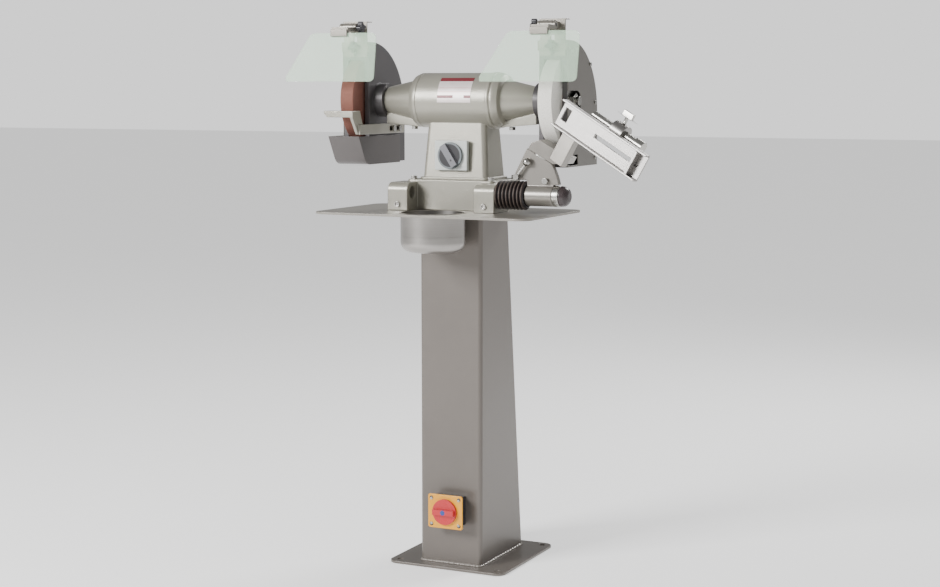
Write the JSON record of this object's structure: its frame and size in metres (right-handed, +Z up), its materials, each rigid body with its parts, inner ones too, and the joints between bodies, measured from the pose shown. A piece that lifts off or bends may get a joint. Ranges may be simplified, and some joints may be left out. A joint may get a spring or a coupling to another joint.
{
  "type": "pedestal bench grinder",
  "caption": "Double-ended grinder on a tapered sheet pedestal with chip tray, water pot, eye shields, tool rest, spark scoop and a swinging drill-sharpening trough.",
  "frame": {"origin": "centre of the foot plate's underside, on the floor", "axes": "+Z up along the height, -Y towards the operator, +X to the operator's right along the wheel axis"},
  "size_m": [0.871, 0.422, 1.2057],
  "materials": {
    "grey_paint": "hammered grey enamel",
    "guard_paint": "dark grey enamel",
    "galvanised": "satin warm grey enamel",
    "steel": "machined steel",
    "zinc": "zinc plated",
    "stainless": "pressed stainless, satin",
    "black_plastic": "moulded",
    "rubber": "pleated",
    "yellow_plastic": "moulded",
    "red_plastic": "moulded",
    "switch_plate": "moulded",
    "dial_grey": "moulded",
    "red_grit": "brown aluminium oxide abrasive",
    "white_grit": "white aluminium oxide abrasive",
    "paper": "blotter paper",
    "copper": "varnished copper",
    "lamination": "stacked electrical steel",
    "clear_shield": "clear polycarbonate, pale green",
    "label_metal": "printed plate without text"
  },
  "bodies": {
    "stand": {"base_casting": "grey_paint", "base_plate": "galvanised", "bearings": "steel", "chip_tray": "grey_paint", "column": "galvanised", "column_cap": "galvanised", "column_hatch": "galvanised", "cover_screws": "zinc", "end_bell_left": "grey_paint", "end_bell_right": "grey_paint", "fixing_bolts": "zinc", "guard_cover_left": "guard_paint", "guard_cover_right": "guard_paint", "guard_left": "guard_paint", "guard_right": "guard_paint", "height_clamp_left": "grey_paint", "height_clamp_right": "grey_paint", "main_switch_box": "black_plastic", "main_switch_plate": "yellow_plastic", "motor_housing": "grey_paint", "motor_switch": "switch_plate", "nameplate": "label_metal", "spark_scoop": "guard_paint", "stator_core": "lamination", "windings": "copper"},
    "rotor": {"rotor_shaft": "steel", "rotor_core": "lamination", "wheel_left": "red_grit", "wheel_right": "white_grit", "blotters": "paper", "wheel_flanges": "steel", "wheel_nuts": "steel"},
    "pot": {"water_pot": "stainless"},
    "rest": {"tool_rest": "grey_paint"},
    "motor_dial": {"switch_dial": "dial_grey"},
    "main_dial": {"main_switch_dial": "red_plastic"},
    "bar": {"pivot_bar": "steel", "bar_collar": "zinc", "bar_cap": "black_plastic", "bellows": "rubber"},
    "arm": {"swing_arm": "grey_paint", "arm_fixings": "zinc"},
    "lever": {"ball_lever": "zinc"},
    "carrier": {"swivel_carrier": "grey_paint", "drill_trough": "zinc", "clamp_ring": "zinc"},
    "stop": {"end_stop": "steel"},
    "feed": {"feed_spindle": "steel", "feed_knob": "zinc"},
    "wing": {"wing_screw": "zinc"},
    "slide_left": {"shield_slide_left": "grey_paint"},
    "shield_frame_left": {"shield_fork_left": "grey_paint", "shield_left": "clear_shield"},
    "tilt_clamp_left": {"tilt_knob_left": "black_plastic"},
    "height_clamp_knob_left": {"height_knob_left": "black_plastic"},
    "slide_right": {"shield_slide_right": "grey_paint"},
    "shield_frame_right": {"shield_fork_right": "grey_paint", "shield_right": "clear_shield"},
    "tilt_clamp_right": {"tilt_knob_right": "black_plastic"},
    "height_clamp_knob_right": {"height_knob_right": "black_plastic"}
  },
  "joints": [
    {"name": "rotor_spin", "type": "hinge", "parent": "stand", "child": "rotor", "pos_m": [0, -0.047, 1.033], "axis": [1, 0, 0], "continuous": true},
    {"name": "pot_lift", "type": "slide", "parent": "stand", "child": "pot", "axis": [0, 0, 1], "range_m": [0, 0.06]},
    {"name": "rest_adjust", "type": "slide", "parent": "stand", "child": "rest", "axis": [0, -1, 0], "range_m": [0, 0.01]},
    {"name": "motor_switch_turn", "type": "hinge", "parent": "stand", "child": "motor_dial", "pos_m": [-0.003, -0.092, 0.914], "axis": [0, 1, 0], "range_deg": [0, 60]},
    {"name": "main_switch_turn", "type": "hinge", "parent": "stand", "child": "main_dial", "pos_m": [0.003, -0.1114, 0.131], "axis": [0, 1, 0], "range_deg": [0, 90]},
    {"name": "bar_traverse", "type": "slide", "parent": "stand", "child": "bar", "axis": [1, 0, 0], "range_m": [0, 0.03]},
    {"name": "arm_swing", "type": "hinge", "parent": "bar", "child": "arm", "pos_m": [0, -0.137, 0.834], "axis": [1, 0, 0], "range_deg": [0, 70]},
    {"name": "lever_turn", "type": "hinge", "parent": "arm", "child": "lever", "pos_m": [0.176, -0.137, 0.874], "axis": [0, 1, 0], "range_deg": [-30, 25]},
    {"name": "trough_swivel", "type": "hinge", "parent": "arm", "child": "carrier", "pos_m": [0.226, -0.137, 0.9178], "axis": [0.4848, 0, 0.8746], "range_deg": [-10, 15]},
    {"name": "stop_slide", "type": "slide", "parent": "carrier", "child": "stop", "axis": [-0.8539, 0.2164, 0.4733], "range_m": [0, 0.085]},
    {"name": "feed_turn", "type": "hinge", "parent": "carrier", "child": "feed", "pos_m": [0.30014, -0.14128, 1.03469], "axis": [0.8539, -0.2164, -0.4733], "continuous": true},
    {"name": "wing_turn", "type": "hinge", "parent": "carrier", "child": "wing", "pos_m": [0.41457, -0.17028, 0.97126], "axis": [0.4848, 0, 0.8746], "continuous": true},
    {"name": "shield_height_left", "type": "slide", "parent": "stand", "child": "slide_left", "axis": [0, 0, 1], "range_m": [-0.008, 0.015]},
    {"name": "shield_tilt_left", "type": "hinge", "parent": "slide_left", "child": "shield_frame_left", "pos_m": [-0.237, -0.132, 1.192], "axis": [-1, 0, 0], "range_deg": [0, 75]},
    {"name": "tilt_knob_turn_left", "type": "hinge", "parent": "slide_left", "child": "tilt_clamp_left", "pos_m": [-0.237, -0.132, 1.192], "axis": [1, 0, 0], "continuous": true},
    {"name": "height_knob_turn_left", "type": "hinge", "parent": "stand", "child": "height_clamp_knob_left", "pos_m": [-0.237, -0.101, 1.1495], "axis": [0, 1, 0], "continuous": true},
    {"name": "shield_height_right", "type": "slide", "parent": "stand", "child": "slide_right", "axis": [0, 0, 1], "range_m": [-0.008, 0.015]},
    {"name": "shield_tilt_right", "type": "hinge", "parent": "slide_right", "child": "shield_frame_right", "pos_m": [0.237, -0.132, 1.192], "axis": [-1, 0, 0], "range_deg": [0, 75]},
    {"name": "tilt_knob_turn_right", "type": "hinge", "parent": "slide_right", "child": "tilt_clamp_right", "pos_m": [0.237, -0.132, 1.192], "axis": [1, 0, 0], "continuous": true},
    {"name": "height_knob_turn_right", "type": "hinge", "parent": "stand", "child": "height_clamp_knob_right", "pos_m": [0.237, -0.101, 1.1495], "axis": [0, 1, 0], "continuous": true}
  ]
}
